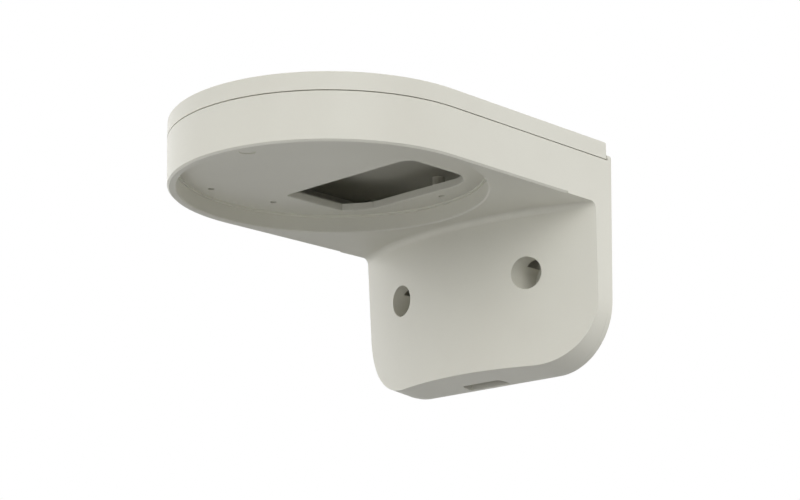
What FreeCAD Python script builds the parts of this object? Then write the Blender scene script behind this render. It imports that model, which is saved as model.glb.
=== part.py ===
import FreeCAD, Part
import math
import os

# Wall mount for a small dome camera.
# Frame: +Z up, the wall is the plane y = 0 and the mount reaches out towards -Y.
# The origin is on the wall, half way between the axes of the two wall screws.

# Pan and arm
pan_diameter = 124.0
pan_to_wall = 89.5
seam_height = 42.5
body_depth = 18.0
draft_angle = 1.5
wall_thickness = 3.0
outer_edge_break = 0.7

# Recess that takes the camera's base
rim_width = 3.75
recess_depth = 6.4
floor_step_width = 0.8
floor_step_height = 0.85
floor_thickness = 3.0
rim_edge_break = 0.5

# Cable opening in the recess floor
opening_left = 34.7
opening_right = 32.2
opening_front = 7.8
opening_back = 44.9
opening_cut_along = 11.2
opening_cut_up = 6.5
front_left_radius = 2.0
front_right_radius = 4.5
back_right_radius = 12.5
opening_edge_break = 0.35

# Leg against the wall
leg_drop = 80.5
leg_depth = 22.4
leg_corner_radius = 26.4
leg_front_radius = 144.5
leg_front_draft = 2.6
leg_bottom_slope = 7.3
throat_radius = 2.6

# Screw wells through the leg
well_spacing = 66.8
well_diameter = 12.8
well_wall = 2.0
well_seat_thickness = 2.4
well_window_depth = 12.1
well_window_rise = 4.4
wall_screw_hole = 5.5

# Cable notch at the bottom of the leg
notch_width = 20.4
notch_depth = 6.0
notch_corner_radius = 2.2

# Top cover
cover_height = 7.2
cover_thickness = 2.6
cover_edge_break = 0.35
seam_gap = 0.4
cover_end_gap = 0.6
lip_height = 3.0
lip_thickness = 1.6
lip_clearance = 0.3

# Wall plate
plate_thickness = 2.3
plate_above_seam = 2.5
plate_corner_radius = 1.4
cable_hole_diameter = 30.0
cable_hole_below_seam = 24.0

# Screws that hold the cover and the wall plate
screw_diameter = 3.0
screw_head_diameter = 5.6
cover_screw_length = 14.0
plate_screw_length = 8.0
socket_width = 2.0
socket_depth = 1.1
post_diameter = 7.2
thread_clearance = 0.1
screw_hole_clearance = 0.4
thread_depth = 8.5
earth_post_offset = 58.0
earth_post_diameter = 5.2
front_post_inset = 11.0
rear_post_inset = 9.0
rear_post_to_wall = 15.0
plate_boss_inset = 6.2
plate_boss_length = 18.0
plate_boss_lift = 2.6

# Tapped holes for the camera and the gate spot in the recess floor
camera_hole_circle = 103.5
camera_hole_angle = 81.0
camera_hole_count = 3
spare_hole_circle = 91.5
spare_hole_angle = 167.0
spare_hole_count = 2
tap_drill_diameter = 2.5
gate_spot_diameter = 6.3
gate_spot_depth = 0.35
gate_spot_x = -3.0
gate_spot_offset = 40.0

# Places that follow from the sizes above
pan_radius = pan_diameter / 2
pan_y = -pan_to_wall
seam_z = seam_height
rim_z = seam_z - body_depth
leg_bottom_z = seam_z - leg_drop
ledge_z = rim_z + recess_depth
floor_z = ledge_z + floor_step_height
floor_top_z = floor_z + floor_thickness
arm_floor_z = rim_z + wall_thickness
cover_top_z = seam_z + cover_height
plate_front_y = -plate_thickness
plate_top_z = seam_z + plate_above_seam
cover_end_y = plate_front_y - cover_end_gap
well_seat_y = plate_front_y - well_seat_thickness
recess_radius = pan_radius - rim_width
cup_radius = recess_radius + wall_thickness
draft_slope = math.tan(math.radians(draft_angle))
front_slope = math.tan(math.radians(leg_front_draft))
bottom_slope = math.tan(math.radians(leg_bottom_slope))
thread_hole_diameter = screw_diameter + thread_clearance
screw_hole_diameter = screw_diameter + screw_hole_clearance
head_height = (screw_head_diameter - screw_diameter) / 2
well_x = well_spacing / 2
lip_inset = wall_thickness + lip_clearance
cover_bottom_z = seam_z + seam_gap
cover_inner_z = cover_top_z - cover_thickness

UP = FreeCAD.Vector(0, 0, 1)
TO_WALL = FreeCAD.Vector(0, 1, 0)


def point(x, y, z):
    return FreeCAD.Vector(x, y, z)


def half_width(z, inset=0.0):
    """Half the width of the body at height z, with its draft, inset by a wall."""
    return pan_radius - inset - draft_slope * (seam_z - z)


def closed_face(points):
    return Part.Face(Part.makePolygon(points + [points[0]]))


def tapered_bar(y_start, y_end, z_low, z_high, inset=0.0):
    """Bar along Y whose two sides lean in downwards with the draft."""
    low = half_width(z_low, inset)
    high = half_width(z_high, inset)
    section = closed_face([
        point(-low, y_start, z_low),
        point(low, y_start, z_low),
        point(high, y_start, z_high),
        point(-high, y_start, z_high),
    ])
    return section.extrude(point(0, y_end - y_start, 0))


def tongue(z_low, z_high, y_end, inset=0.0):
    """Round nose about the pan axis that runs on as a straight bar to y_end."""
    nose = Part.makeCone(half_width(z_low, inset), half_width(z_high, inset), z_high - z_low,
                         point(0, pan_y, z_low), UP, 180)
    nose.rotate(point(0, pan_y, 0), UP, 180)
    bar = tapered_bar(pan_y, y_end, z_low, z_high, inset)
    return nose.fuse(bar).removeSplitter()


def straight_tongue(z_low, z_high, y_end, inset=0.0):
    """The same outline as at the seam, with upright sides, for the cover."""
    radius = pan_radius - inset
    start = point(-radius, pan_y, z_low)
    end = point(radius, pan_y, z_low)
    edges = [
        Part.Arc(start, point(0, pan_y - radius, z_low), end).toShape(),
        Part.makeLine(end, point(radius, y_end, z_low)),
        Part.makeLine(point(radius, y_end, z_low), point(-radius, y_end, z_low)),
        Part.makeLine(point(-radius, y_end, z_low), start),
    ]
    return Part.Face(Part.Wire(edges)).extrude(point(0, 0, z_high - z_low))


def upright_cylinder(radius, x, y, z_low, z_high):
    return Part.makeCylinder(radius, z_high - z_low, point(x, y, z_low), UP)


def wall_cylinder(radius, x, z, y_start, y_end):
    return Part.makeCylinder(radius, y_end - y_start, point(x, y_start, z), TO_WALL)


def rounded_prism(corners, z_low, z_high):
    """Upright prism over corners given as x, y and the radius that rounds each of them."""
    prism = closed_face([point(x, y, z_low) for x, y, radius in corners])
    prism = prism.extrude(point(0, 0, z_high - z_low))
    for x, y, radius in corners:
        if radius > 0:
            upright = [edge for edge in prism.Edges if is_along(edge, UP)
                       and math.hypot(edge.CenterOfMass.x - x, edge.CenterOfMass.y - y) < 0.01]
            prism = prism.makeFillet(radius, upright)
    return prism


def is_along(edge, direction):
    """True for a straight edge that runs in the given direction."""
    if edge.Curve.TypeId != "Part::GeomLine":
        return False
    return abs(edge.tangentAt(edge.FirstParameter).dot(direction)) > 0.99


def leg_front_cone(inset, z_low, z_high):
    """Everything behind the bowed front of the leg, which leans out upwards with its draft."""
    low = leg_front_radius - inset + front_slope * z_low
    high = leg_front_radius - inset + front_slope * z_high
    middle = point(0, leg_front_radius - leg_depth, z_low)
    return Part.makeCone(low, high, z_high - z_low, middle, UP)


def leg_envelope(inset, z_high, y_back):
    """Drafted sides, a bottom that rises towards the front, round bottom corners."""
    y_start = -leg_depth - front_slope * rim_z - throat_radius
    bottom = leg_bottom_z + inset
    block = tapered_bar(y_start, y_back, bottom, z_high, inset)
    wide = 2 * pan_diameter
    rise = bottom_slope * (y_back - y_start)
    below = closed_face([
        point(-wide / 2, y_back, bottom),
        point(-wide / 2, y_start, bottom + rise),
        point(-wide / 2, y_start, bottom - wall_thickness),
        point(-wide / 2, y_back, bottom - wall_thickness),
    ]).extrude(point(wide, 0, 0))
    block = block.cut(below)
    corners = []
    for edge in block.Edges:
        runs_back = abs(edge.tangentAt(edge.FirstParameter).y) > 0.9
        if runs_back and edge.CenterOfMass.z < rim_z - body_depth:
            corners.append(edge)
    return block.makeFillet(leg_corner_radius - inset, corners)


def throat_form():
    """A wide slab over the bowed leg front, with the hollow throat between them."""
    half = leg_front_radius + leg_depth
    slab_front = pan_y - pan_diameter
    slab = Part.makeBox(2 * half, 2 * half - slab_front, body_depth,
                        point(-half, slab_front, rim_z))
    cone = leg_front_cone(0.0, leg_bottom_z - wall_thickness, seam_z)
    form = slab.fuse(cone).removeSplitter()
    throat = [edge for edge in form.Edges
              if edge.Closed and abs(edge.CenterOfMass.z - rim_z) < 0.01]
    return form.makeFillet(throat_radius, throat)


def body_outside():
    arm = tongue(rim_z, seam_z, plate_front_y)
    around = [edge for edge in arm.Edges
              if all(abs(vertex.Z - rim_z) < 0.01 for vertex in edge.Vertexes)
              and edge.CenterOfMass.y < plate_front_y - 1]
    arm = arm.makeChamfer(outer_edge_break, around)
    envelope = arm.fuse(leg_envelope(0.0, seam_z, plate_front_y)).removeSplitter()
    return envelope.common(throat_form()).removeSplitter()


def leg_block(inset, z_high, y_back):
    """The leg's own form behind its bowed front, or the space inside its walls."""
    front = leg_front_cone(inset, leg_bottom_z + inset, z_high)
    return leg_envelope(inset, z_high, y_back).common(front)


def body_cavity():
    """Open at the top under the cover and at the back behind the wall plate."""
    past_seam = seam_z + wall_thickness
    past_back = plate_front_y + wall_thickness
    arm = tongue(arm_floor_z, past_seam, past_back, wall_thickness)
    leg = leg_block(wall_thickness, past_seam, past_back)
    cup = upright_cylinder(cup_radius, 0, pan_y, rim_z, floor_top_z)
    return arm.cut(cup).fuse(leg)


def circle_places(circle, start_angle, count):
    """Places on a circle about the pan axis, evenly spread from start_angle."""
    places = []
    for index in range(count):
        angle = math.radians(start_angle + index * 360 / count)
        places.append((circle / 2 * math.cos(angle), pan_y + circle / 2 * math.sin(angle)))
    return places


def post_places():
    """The posts that take the cover screws."""
    rear_x = pan_radius - rear_post_inset
    return [(0, pan_y - pan_radius + front_post_inset),
            (rear_x, -rear_post_to_wall),
            (-rear_x, -rear_post_to_wall)]


def camera_hole_places():
    places = circle_places(camera_hole_circle, camera_hole_angle, camera_hole_count)
    return places + circle_places(spare_hole_circle, spare_hole_angle, spare_hole_count)


def plate_boss_places():
    """The bosses that take the wall plate's screws, until the wall screws clamp it."""
    x = pan_radius - plate_boss_inset
    z = arm_floor_z + plate_boss_lift
    return [(x, z), (-x, z)]


def inner_features():
    """Posts, bosses and well tubes that stand inside the walls."""
    solids = [upright_cylinder(earth_post_diameter / 2, 0, pan_y + earth_post_offset,
                               arm_floor_z - 1, seam_z)]
    for x, y in post_places():
        solids.append(upright_cylinder(post_diameter / 2, x, y, arm_floor_z - 1, seam_z))
    for x, z in plate_boss_places():
        start = plate_front_y - plate_boss_length
        solids.append(wall_cylinder(post_diameter / 2, x, z, start, plate_front_y))
    inside_front = leg_block(wall_thickness / 2, seam_z, plate_front_y)
    for x in (well_x, -well_x):
        tube = wall_cylinder(well_diameter / 2 + well_wall, x, 0, -2 * leg_depth, plate_front_y)
        solids.append(tube.common(inside_front))
    return solids


def well_cuts():
    """Bore, screw hole and the window in the top of the tube, for both wells."""
    radius = well_diameter / 2
    window_width = well_diameter + 4 * well_wall
    cuts = []
    for x in (well_x, -well_x):
        cuts.append(wall_cylinder(radius, x, 0, -2 * leg_depth, well_seat_y))
        cuts.append(wall_cylinder(wall_screw_hole / 2, x, 0, well_seat_y - 1, 1))
        cuts.append(Part.makeBox(window_width, well_seat_y + well_window_depth,
                                 radius + 2 * well_wall - well_window_rise,
                                 point(x - window_width / 2, -well_window_depth,
                                       well_window_rise)))
    return cuts


def opening_corners():
    """The cable opening seen from above: one corner is cut off, three are rounded."""
    front = pan_y + opening_front
    back = pan_y + opening_back
    return [
        (-opening_left, front, front_left_radius),
        (opening_right, front, front_right_radius),
        (opening_right, back, back_right_radius),
        (-opening_left + opening_cut_along, back, 0),
        (-opening_left, back - opening_cut_up, 0),
    ]


def recess_cuts():
    """The stepped recess, the cable opening, the tapped holes and the gate spot."""
    rim_break = Part.makeCone(recess_radius + rim_edge_break, recess_radius, rim_edge_break,
                              point(0, pan_y, rim_z), UP)
    cuts = [
        upright_cylinder(recess_radius, 0, pan_y, rim_z - 1, ledge_z),
        upright_cylinder(recess_radius - floor_step_width, 0, pan_y, ledge_z - 1, floor_z),
        rim_break,
        rounded_prism(opening_corners(), floor_z - 1, floor_top_z + 1),
        upright_cylinder(gate_spot_diameter / 2, gate_spot_x, pan_y - gate_spot_offset,
                         floor_z - 1, floor_z + gate_spot_depth),
    ]
    radius = tap_drill_diameter / 2
    for x, y in camera_hole_places():
        cuts.append(upright_cylinder(radius, x, y, floor_z - 1, floor_top_z + 1))
    return cuts


def thread_cuts():
    """Tapped holes for the cover screws, the earth wire and the wall plate's screws."""
    radius = thread_hole_diameter / 2
    cuts = []
    for x, y in post_places():
        cuts.append(upright_cylinder(radius, x, y, seam_z - thread_depth, seam_z + 1))
    cuts.append(upright_cylinder(tap_drill_diameter / 2, 0, pan_y + earth_post_offset,
                                 seam_z - thread_depth, seam_z + 1))
    for x, z in plate_boss_places():
        cuts.append(wall_cylinder(radius, x, z, plate_front_y - thread_depth, plate_front_y + 1))
    return cuts


def notch_cut():
    """Cable notch through the bottom wall, open towards the wall plate."""
    half = notch_width / 2
    front_y = plate_front_y - notch_depth
    back_y = plate_front_y + notch_depth
    corners = [
        (-half, front_y, notch_corner_radius),
        (half, front_y, notch_corner_radius),
        (half, back_y, 0),
        (-half, back_y, 0),
    ]
    return rounded_prism(corners, leg_bottom_z - 1, leg_bottom_z + 2 * wall_thickness)


def edges_of_opening(solid):
    """The lower edges of the cable opening, on the recess floor."""
    found = []
    for edge in solid.Edges:
        middle = edge.CenterOfMass
        level = all(abs(vertex.Z - floor_z) < 0.01 for vertex in edge.Vertexes)
        near_x = -opening_left - 0.1 < middle.x < opening_right + 0.1
        near_y = opening_front - 0.1 < middle.y - pan_y < opening_back + 0.1
        if level and near_x and near_y and abs(middle.z - floor_z) < 0.01:
            found.append(edge)
    return found


def bracket_body():
    solid = body_outside().cut(body_cavity())
    for feature in inner_features():
        solid = solid.fuse(feature)
    solid = solid.removeSplitter()
    solid = solid.cut(well_cuts() + recess_cuts() + thread_cuts() + [notch_cut()])
    return solid.makeChamfer(opening_edge_break, edges_of_opening(solid))


def top_cover():
    shell = straight_tongue(cover_bottom_z, cover_top_z, cover_end_y)
    top_edges = [edge for edge in shell.Edges
                 if all(abs(vertex.Z - cover_top_z) < 0.01 for vertex in edge.Vertexes)]
    shell = shell.makeChamfer(cover_edge_break, top_edges)
    inner_end = cover_end_y - cover_thickness
    shell = shell.cut(straight_tongue(cover_bottom_z - 1, cover_inner_z, inner_end,
                                      cover_thickness))
    lip_root = straight_tongue(cover_bottom_z, cover_bottom_z + lip_thickness, inner_end,
                               cover_thickness)
    lip = straight_tongue(seam_z - lip_height, cover_bottom_z + lip_thickness, inner_end,
                          lip_inset)
    ring = lip_root.fuse(lip)
    ring = ring.cut(straight_tongue(seam_z - lip_height - 1, cover_inner_z, cover_end_y,
                                    lip_inset + lip_thickness))
    cover = shell.fuse(ring)
    for x, y in post_places():
        cover = cover.fuse(upright_cylinder(post_diameter / 2, x, y, seam_z, cover_inner_z + 1))
    cover = cover.removeSplitter()
    for x, y in post_places():
        cover = cover.cut(countersunk_hole(seam_z - 1, cover_top_z, x, y))
    return cover


def countersunk_hole(z_low, z_high, x, y):
    """Screw hole down from z_high, with the cone for a flat head."""
    hole = upright_cylinder(screw_hole_diameter / 2, x, y, z_low, z_high)
    cone = Part.makeCone(screw_diameter / 2, screw_head_diameter / 2, head_height,
                         point(x, y, z_high - head_height), UP)
    return hole.fuse(cone)


def upright_screw(length):
    """Flat-head screw with a hexagon socket, head face at z = 0, pointing down."""
    shank = upright_cylinder(screw_diameter / 2, 0, 0, -length, -head_height)
    head = Part.makeCone(screw_diameter / 2, screw_head_diameter / 2, head_height,
                         point(0, 0, -head_height), UP)
    corners = []
    for index in range(6):
        angle = math.radians(60 * index + 30)
        reach = socket_width / 2 / math.cos(math.radians(30))
        corners.append(point(reach * math.cos(angle), reach * math.sin(angle), -socket_depth))
    socket = closed_face(corners).extrude(point(0, 0, socket_depth + 1))
    return shank.fuse(head).removeSplitter().cut(socket)


def cover_screws():
    screws = []
    for x, y in post_places():
        screw = upright_screw(cover_screw_length)
        screw.translate(point(x, y, cover_top_z))
        screws.append(screw)
    return screws


def plate_screws():
    screws = []
    for x, z in plate_boss_places():
        screw = upright_screw(plate_screw_length)
        screw.rotate(point(0, 0, 0), point(1, 0, 0), -90)
        screw.translate(point(x, 0, z))
        screws.append(screw)
    return screws


def wall_plate():
    low = leg_bottom_z
    outline = closed_face([
        point(-half_width(low), plate_front_y, low),
        point(half_width(low), plate_front_y, low),
        point(half_width(plate_top_z), plate_front_y, plate_top_z),
        point(-half_width(plate_top_z), plate_front_y, plate_top_z),
    ])
    plate = outline.extrude(point(0, plate_thickness, 0))
    across = [edge for edge in plate.Edges if is_along(edge, TO_WALL)]
    low_corners = [edge for edge in across if edge.CenterOfMass.z < 0]
    plate = plate.makeFillet(leg_corner_radius, low_corners)
    across = [edge for edge in plate.Edges if is_along(edge, TO_WALL)]
    top_corners = [edge for edge in across if edge.CenterOfMass.z > plate_top_z - 0.1]
    plate = plate.makeFillet(plate_corner_radius, top_corners)
    for x in (well_x, -well_x):
        plate = plate.cut(wall_cylinder(wall_screw_hole / 2, x, 0, plate_front_y - 1, 1))
    cable_z = seam_z - cable_hole_below_seam
    plate = plate.cut(wall_cylinder(cable_hole_diameter / 2, 0, cable_z, plate_front_y - 1, 1))
    for x, z in plate_boss_places():
        hole = countersunk_hole(-plate_thickness - 1, 0, 0, 0)
        hole.rotate(point(0, 0, 0), point(1, 0, 0), -90)
        hole.translate(point(x, 0, z))
        plate = plate.cut(hole)
    return plate


def single_solid(shape):
    """The one solid that a piece must be."""
    if len(shape.Solids) != 1:
        raise ValueError("the piece is not one solid")
    return shape.Solids[0]


def main():
    os.makedirs("parts", exist_ok=True)
    pieces = {
        "bracket_body": single_solid(bracket_body()),
        "top_cover": single_solid(top_cover()),
        "wall_plate": single_solid(wall_plate()),
        "cover_screws": Part.makeCompound([single_solid(screw) for screw in cover_screws()]),
        "plate_screws": Part.makeCompound([single_solid(screw) for screw in plate_screws()]),
    }
    for name, shape in pieces.items():
        shape.exportStep("parts/" + name + ".step")
        print(name, "valid", shape.isValid(), "solids", len(shape.Solids),
              "volume", round(shape.Volume), "faces", len(shape.Faces))


main()
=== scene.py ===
import math

import bpy
from mathutils import Matrix, Vector


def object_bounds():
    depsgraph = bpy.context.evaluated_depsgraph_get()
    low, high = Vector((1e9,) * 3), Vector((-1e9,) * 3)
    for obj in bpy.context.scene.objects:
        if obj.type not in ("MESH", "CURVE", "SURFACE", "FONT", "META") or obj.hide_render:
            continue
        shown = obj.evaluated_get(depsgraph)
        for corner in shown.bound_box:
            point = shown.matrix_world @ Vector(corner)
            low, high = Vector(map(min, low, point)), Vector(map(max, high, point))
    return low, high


# Looks of a cast and powder-coated wall mount for a small dome camera.
# Everything is in metres, in the frame of the CAD model: the wall is y = 0 and +Z is up.
# Angles are in degrees. Azimuth 0 is the front, -Y, and azimuth 90 is the right, +X.

MM = 0.001

# Camera, fitted to the outline of the mount in the photograph. It stands back from the aim
# point and is then moved down and to the right, which frames the mount as the photograph does.
CAMERA_AZIMUTH = 44.196
CAMERA_ELEVATION = -14.858
CAMERA_ROLL = -0.172
CAMERA_DISTANCE = 720.257 * MM
AIM_POINT = Vector((0, -89.5, 42.5)) * MM    # on the pan's axis, at the height of the seam
MOVE_RIGHT = 25.216 * MM
MOVE_UP = -39.187 * MM
FOCAL_PIXELS = 1914.233
PHOTO_WIDTH = 800
SENSOR_WIDTH = 36.0
NEAREST_SEEN = 0.05
FARTHEST_SEEN = 100.0    # past the corners of the floor

# Studio: a floor well below the mount, as if the mount were held up, inside a tent of light
WHITE = "#FFFFFF"
FLOOR_GREY = "#5A5A59"   # what the floor throws back as light
FLOOR_LIFT = 0.35        # added to the floor for the eye alone, so its far part stays pale
FLOOR_BELOW = 0.42
FLOOR_SIZE = 60.0
TENT_LIGHT = 0.6         # strength of the tent overhead; it fades to nothing at the horizon
TENT_TOP = 0.7           # from directions with this z and above, the tent gives all its light

# Two kinds of softbox: the distance from the middle of the mount, and the side of the square
STUDIO_BOX = (1.6, 1.1)
LOW_BOX = (0.55, 0.3)    # between the mount and the floor

# Name, azimuth, elevation, power in watts, and kind. The powers were fitted together to the
# brightness of the photograph.
SOFTBOXES = (
    ("high_right", 60, 25, 8.1, STUDIO_BOX),
    ("right", 60, 8, 4.4, STUDIO_BOX),
    ("front", 10, 8, 5.6, STUDIO_BOX),
    ("front_left", -50, 8, 5.1, STUDIO_BOX),
    ("left", -90, 8, 6.7, STUDIO_BOX),
    ("back_right", 135, 8, 8.1, STUDIO_BOX),
    ("low_front", 0, -42, 0.55, LOW_BOX),
    ("low_back_right", 135, -42, 0.42, LOW_BOX),
)

# The colour sockets of a Mix node, by number, since its sockets for other data share their names
MIX_A, MIX_B, MIX_RESULT = 6, 7, 2

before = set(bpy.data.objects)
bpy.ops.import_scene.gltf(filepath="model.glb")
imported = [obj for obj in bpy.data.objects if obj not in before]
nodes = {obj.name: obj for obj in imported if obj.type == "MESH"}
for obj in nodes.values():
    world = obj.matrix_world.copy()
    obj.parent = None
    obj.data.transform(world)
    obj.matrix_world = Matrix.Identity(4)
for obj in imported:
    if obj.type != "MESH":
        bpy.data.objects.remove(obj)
cad_low, cad_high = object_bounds()


def linear(hex_colour):
    """An sRGB hex colour as linear RGBA."""
    channels = []
    for start in (1, 3, 5):
        value = int(hex_colour[start:start + 2], 16) / 255
        channels.append(value / 12.92 if value <= 0.04045 else ((value + 0.055) / 1.055) ** 2.4)
    return (*channels, 1.0)


def direction(azimuth, elevation):
    """The unit vector from the mount towards an azimuth and elevation."""
    a, e = math.radians(azimuth), math.radians(elevation)
    return Vector((math.sin(a) * math.cos(e), -math.cos(a) * math.cos(e), math.sin(e)))


def cleared_tree(owner):
    """The node tree of a new material or world, with nothing in it."""
    owner.use_nodes = True
    owner.node_tree.nodes.clear()
    return owner.node_tree


def add(tree, kind, inputs=None, **settings):
    """Adds a node with its settings; an input is a value, or the output of another node."""
    node = tree.nodes.new(kind)
    for name, value in settings.items():
        setattr(node, name, value)
    for key, value in (inputs or {}).items():
        if isinstance(value, bpy.types.NodeSocket):
            tree.links.new(value, node.inputs[key])
        else:
            node.inputs[key].default_value = value
    return node


def waves_per_metre(size_mm):
    """Noise scale at which one blotch is about size_mm across."""
    return 1 / (size_mm * MM)


def powder_coat(name, light_hex, dark_hex):
    """Polyester powder coat, sprayed and baked on die-cast aluminium.

    It gives a warm, pale, even matt with a soft sheen, and the passes of the spray gun leave a
    slow change of tone, with blotches about 34 mm across. The coat flows as it bakes, which
    leaves a shallow orange peel about 2 mm across, and its matting agent leaves a fine grit.
    The real grit is near 0.05 mm, too fine to show, so it is drawn at 0.45 mm.
    """
    grit_in_tone, grit_in_height = 0.35, 0.3
    material = bpy.data.materials.new(name)
    tree = cleared_tree(material)
    place = add(tree, "ShaderNodeTexCoord").outputs["Object"]
    cloud = add(tree, "ShaderNodeTexNoise",
                {"Vector": place, "Scale": waves_per_metre(34), "Detail": 2.0})
    peel = add(tree, "ShaderNodeTexNoise",
               {"Vector": place, "Scale": waves_per_metre(2.1), "Detail": 1.0})
    grit = add(tree, "ShaderNodeTexNoise",
               {"Vector": place, "Scale": waves_per_metre(0.45), "Detail": 2.0})
    speckle = add(tree, "ShaderNodeMath",
                  {0: grit.outputs["Fac"], 1: grit_in_tone, 2: cloud.outputs["Fac"]},
                  operation="MULTIPLY_ADD")
    tone = add(tree, "ShaderNodeMapRange",
               {"Value": speckle.outputs[0], "From Min": 0.35, "From Max": 1.0})
    colour = add(tree, "ShaderNodeMix",
                 {"Factor": tone.outputs[0], MIX_A: linear(dark_hex), MIX_B: linear(light_hex)},
                 data_type="RGBA")
    sheen = add(tree, "ShaderNodeMapRange",
                {"Value": cloud.outputs["Fac"], "To Min": 0.5, "To Max": 0.58})
    height = add(tree, "ShaderNodeMath",
                 {0: grit.outputs["Fac"], 1: grit_in_height, 2: peel.outputs["Fac"]},
                 operation="MULTIPLY_ADD")
    bump = add(tree, "ShaderNodeBump",
               {"Strength": 0.35, "Distance": 0.05 * MM, "Height": height.outputs[0]})
    coat = add(tree, "ShaderNodeBsdfPrincipled",
               {"Base Color": colour.outputs[MIX_RESULT], "Roughness": sheen.outputs[0],
                "IOR": 1.5, "Normal": bump.outputs[0]})
    add(tree, "ShaderNodeOutputMaterial", {"Surface": coat.outputs[0]})
    return material


def stainless_steel(name):
    """Plain A2 stainless steel, cold headed and tumbled.

    It gives a soft grey metal shine, a little blurred by tumbling marks about 0.3 mm long.
    """
    material = bpy.data.materials.new(name)
    tree = cleared_tree(material)
    place = add(tree, "ShaderNodeTexCoord").outputs["Object"]
    marks = add(tree, "ShaderNodeTexNoise",
                {"Vector": place, "Scale": waves_per_metre(0.3), "Detail": 3.0})
    blur = add(tree, "ShaderNodeMapRange",
               {"Value": marks.outputs["Fac"], "To Min": 0.24, "To Max": 0.42})
    bump = add(tree, "ShaderNodeBump",
               {"Strength": 0.2, "Distance": 0.02 * MM, "Height": marks.outputs["Fac"]})
    steel = add(tree, "ShaderNodeBsdfPrincipled",
                {"Base Color": linear("#BFBCB6"), "Metallic": 1.0,
                 "Roughness": blur.outputs[0], "Normal": bump.outputs[0]})
    add(tree, "ShaderNodeOutputMaterial", {"Surface": steel.outputs[0]})
    return material


def dress(node_names, material):
    """Gives CAD nodes their material."""
    for name in node_names:
        for slot in nodes[name].material_slots:
            slot.material = material


def seen_directly(tree):
    """1 for what the camera, a reflection or a look through glass sees, and 0 for light."""
    path = add(tree, "ShaderNodeLightPath")
    seen = path.outputs["Is Camera Ray"]
    for name in ("Is Glossy Ray", "Is Transmission Ray"):
        seen = add(tree, "ShaderNodeMath", {0: seen, 1: path.outputs[name]},
                   operation="MAXIMUM").outputs[0]
    return seen


def studio_world():
    """White to the eye; as light, a tent that glows from overhead and fades to the horizon."""
    world = bpy.data.worlds.new("studio_tent")
    tree = cleared_tree(world)
    sight = add(tree, "ShaderNodeTexCoord").outputs["Generated"]
    height = add(tree, "ShaderNodeSeparateXYZ", {0: sight}).outputs["Z"]
    level = add(tree, "ShaderNodeMapRange",
                {"Value": height, "From Min": 0.0, "From Max": TENT_TOP,
                 "To Min": 0.0, "To Max": TENT_LIGHT},
                interpolation_type="SMOOTHSTEP")
    light = add(tree, "ShaderNodeBackground",
                {"Color": linear(WHITE), "Strength": level.outputs[0]})
    backdrop = add(tree, "ShaderNodeBackground", {"Color": linear(WHITE), "Strength": 1.0})
    choice = add(tree, "ShaderNodeMixShader",
                 {0: seen_directly(tree), 1: light.outputs[0], 2: backdrop.outputs[0]})
    add(tree, "ShaderNodeOutputWorld", {"Surface": choice.outputs[0]})
    bpy.context.scene.world = world


def floor_paint(name):
    """Matt paint on the studio floor.

    It gives a plain, nearly white ground that throws back less light than the eye sees in it,
    so that the underside of the mount keeps its shade.
    """
    material = bpy.data.materials.new(name)
    tree = cleared_tree(material)
    seen = seen_directly(tree)
    colour = add(tree, "ShaderNodeMix",
                 {"Factor": seen, MIX_A: linear(FLOOR_GREY), MIX_B: linear(WHITE)},
                 data_type="RGBA")
    paint = add(tree, "ShaderNodeBsdfDiffuse", {"Color": colour.outputs[MIX_RESULT]})
    lift = add(tree, "ShaderNodeMath", {0: seen, 1: FLOOR_LIFT}, operation="MULTIPLY")
    glow = add(tree, "ShaderNodeEmission",
               {"Color": linear(WHITE), "Strength": lift.outputs[0]})
    both = add(tree, "ShaderNodeAddShader", {0: paint.outputs[0], 1: glow.outputs[0]})
    add(tree, "ShaderNodeOutputMaterial", {"Surface": both.outputs[0]})
    return material


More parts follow.
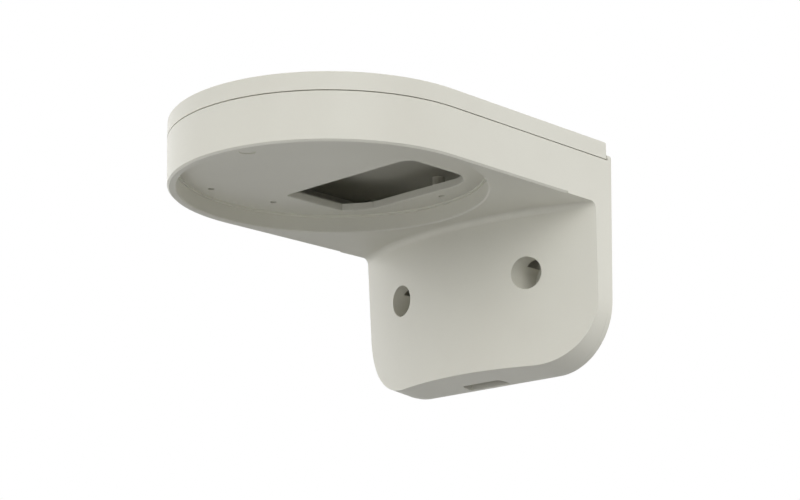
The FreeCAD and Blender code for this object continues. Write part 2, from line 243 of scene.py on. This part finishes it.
def studio_floor(paint):
    """A plain square of floor, far wider than the view."""
    half = FLOOR_SIZE / 2
    height = cad_low.z - FLOOR_BELOW
    corners = [(-half, -half, height), (half, -half, height),
               (half, half, height), (-half, half, height)]
    mesh = bpy.data.meshes.new("studio_floor")
    mesh.from_pydata(corners, [], [(0, 1, 2, 3)])
    mesh.materials.append(paint)
    floor = bpy.data.objects.new("studio_floor", mesh)
    bpy.context.scene.collection.objects.link(floor)


def softbox(name, azimuth, elevation, power, kind):
    """A square soft lamp that looks at the middle of the mount."""
    distance, size = kind
    back = direction(azimuth, elevation)
    lamp = bpy.data.lights.new(name, "AREA")
    lamp.shape = "SQUARE"
    lamp.size = size
    lamp.energy = power
    holder = bpy.data.objects.new(name, lamp)
    holder.location = (cad_low + cad_high) / 2 + back * distance
    holder.rotation_mode = "QUATERNION"
    holder.rotation_quaternion = (-back).to_track_quat("-Z", "Y")
    bpy.context.scene.collection.objects.link(holder)


def photo_camera():
    """The camera at the photograph's place, angle and focal length."""
    back = direction(CAMERA_AZIMUTH, CAMERA_ELEVATION)
    level_right = direction(CAMERA_AZIMUTH + 90, 0)
    level_up = back.cross(level_right)
    roll = math.radians(CAMERA_ROLL)
    right = math.cos(roll) * level_right + math.sin(roll) * level_up
    up = math.cos(roll) * level_up - math.sin(roll) * level_right
    place = AIM_POINT + back * CAMERA_DISTANCE + right * MOVE_RIGHT + up * MOVE_UP
    axes = Matrix((right, up, back)).transposed().to_4x4()
    camera = bpy.data.cameras.new("photo_camera")
    camera.sensor_width = SENSOR_WIDTH
    camera.lens = FOCAL_PIXELS * SENSOR_WIDTH / PHOTO_WIDTH
    camera.clip_start = NEAREST_SEEN
    camera.clip_end = FARTHEST_SEEN
    holder = bpy.data.objects.new("photo_camera", camera)
    holder.matrix_world = Matrix.Translation(place) @ axes
    bpy.context.scene.collection.objects.link(holder)
    bpy.context.scene.camera = holder


coat = powder_coat("powder_coated_aluminium", light_hex="#DCDBD0", dark_hex="#D6D4C9")
steel = stainless_steel("stainless_steel_screws")
dress(["bracket_body", "top_cover", "wall_plate"], coat)
dress(["cover_screws", "plate_screws"], steel)

studio_world()
studio_floor(floor_paint("painted_studio_floor"))
for lamp_settings in SOFTBOXES:
    softbox(*lamp_settings)
photo_camera()
bpy.context.scene.view_settings.view_transform = "Standard"
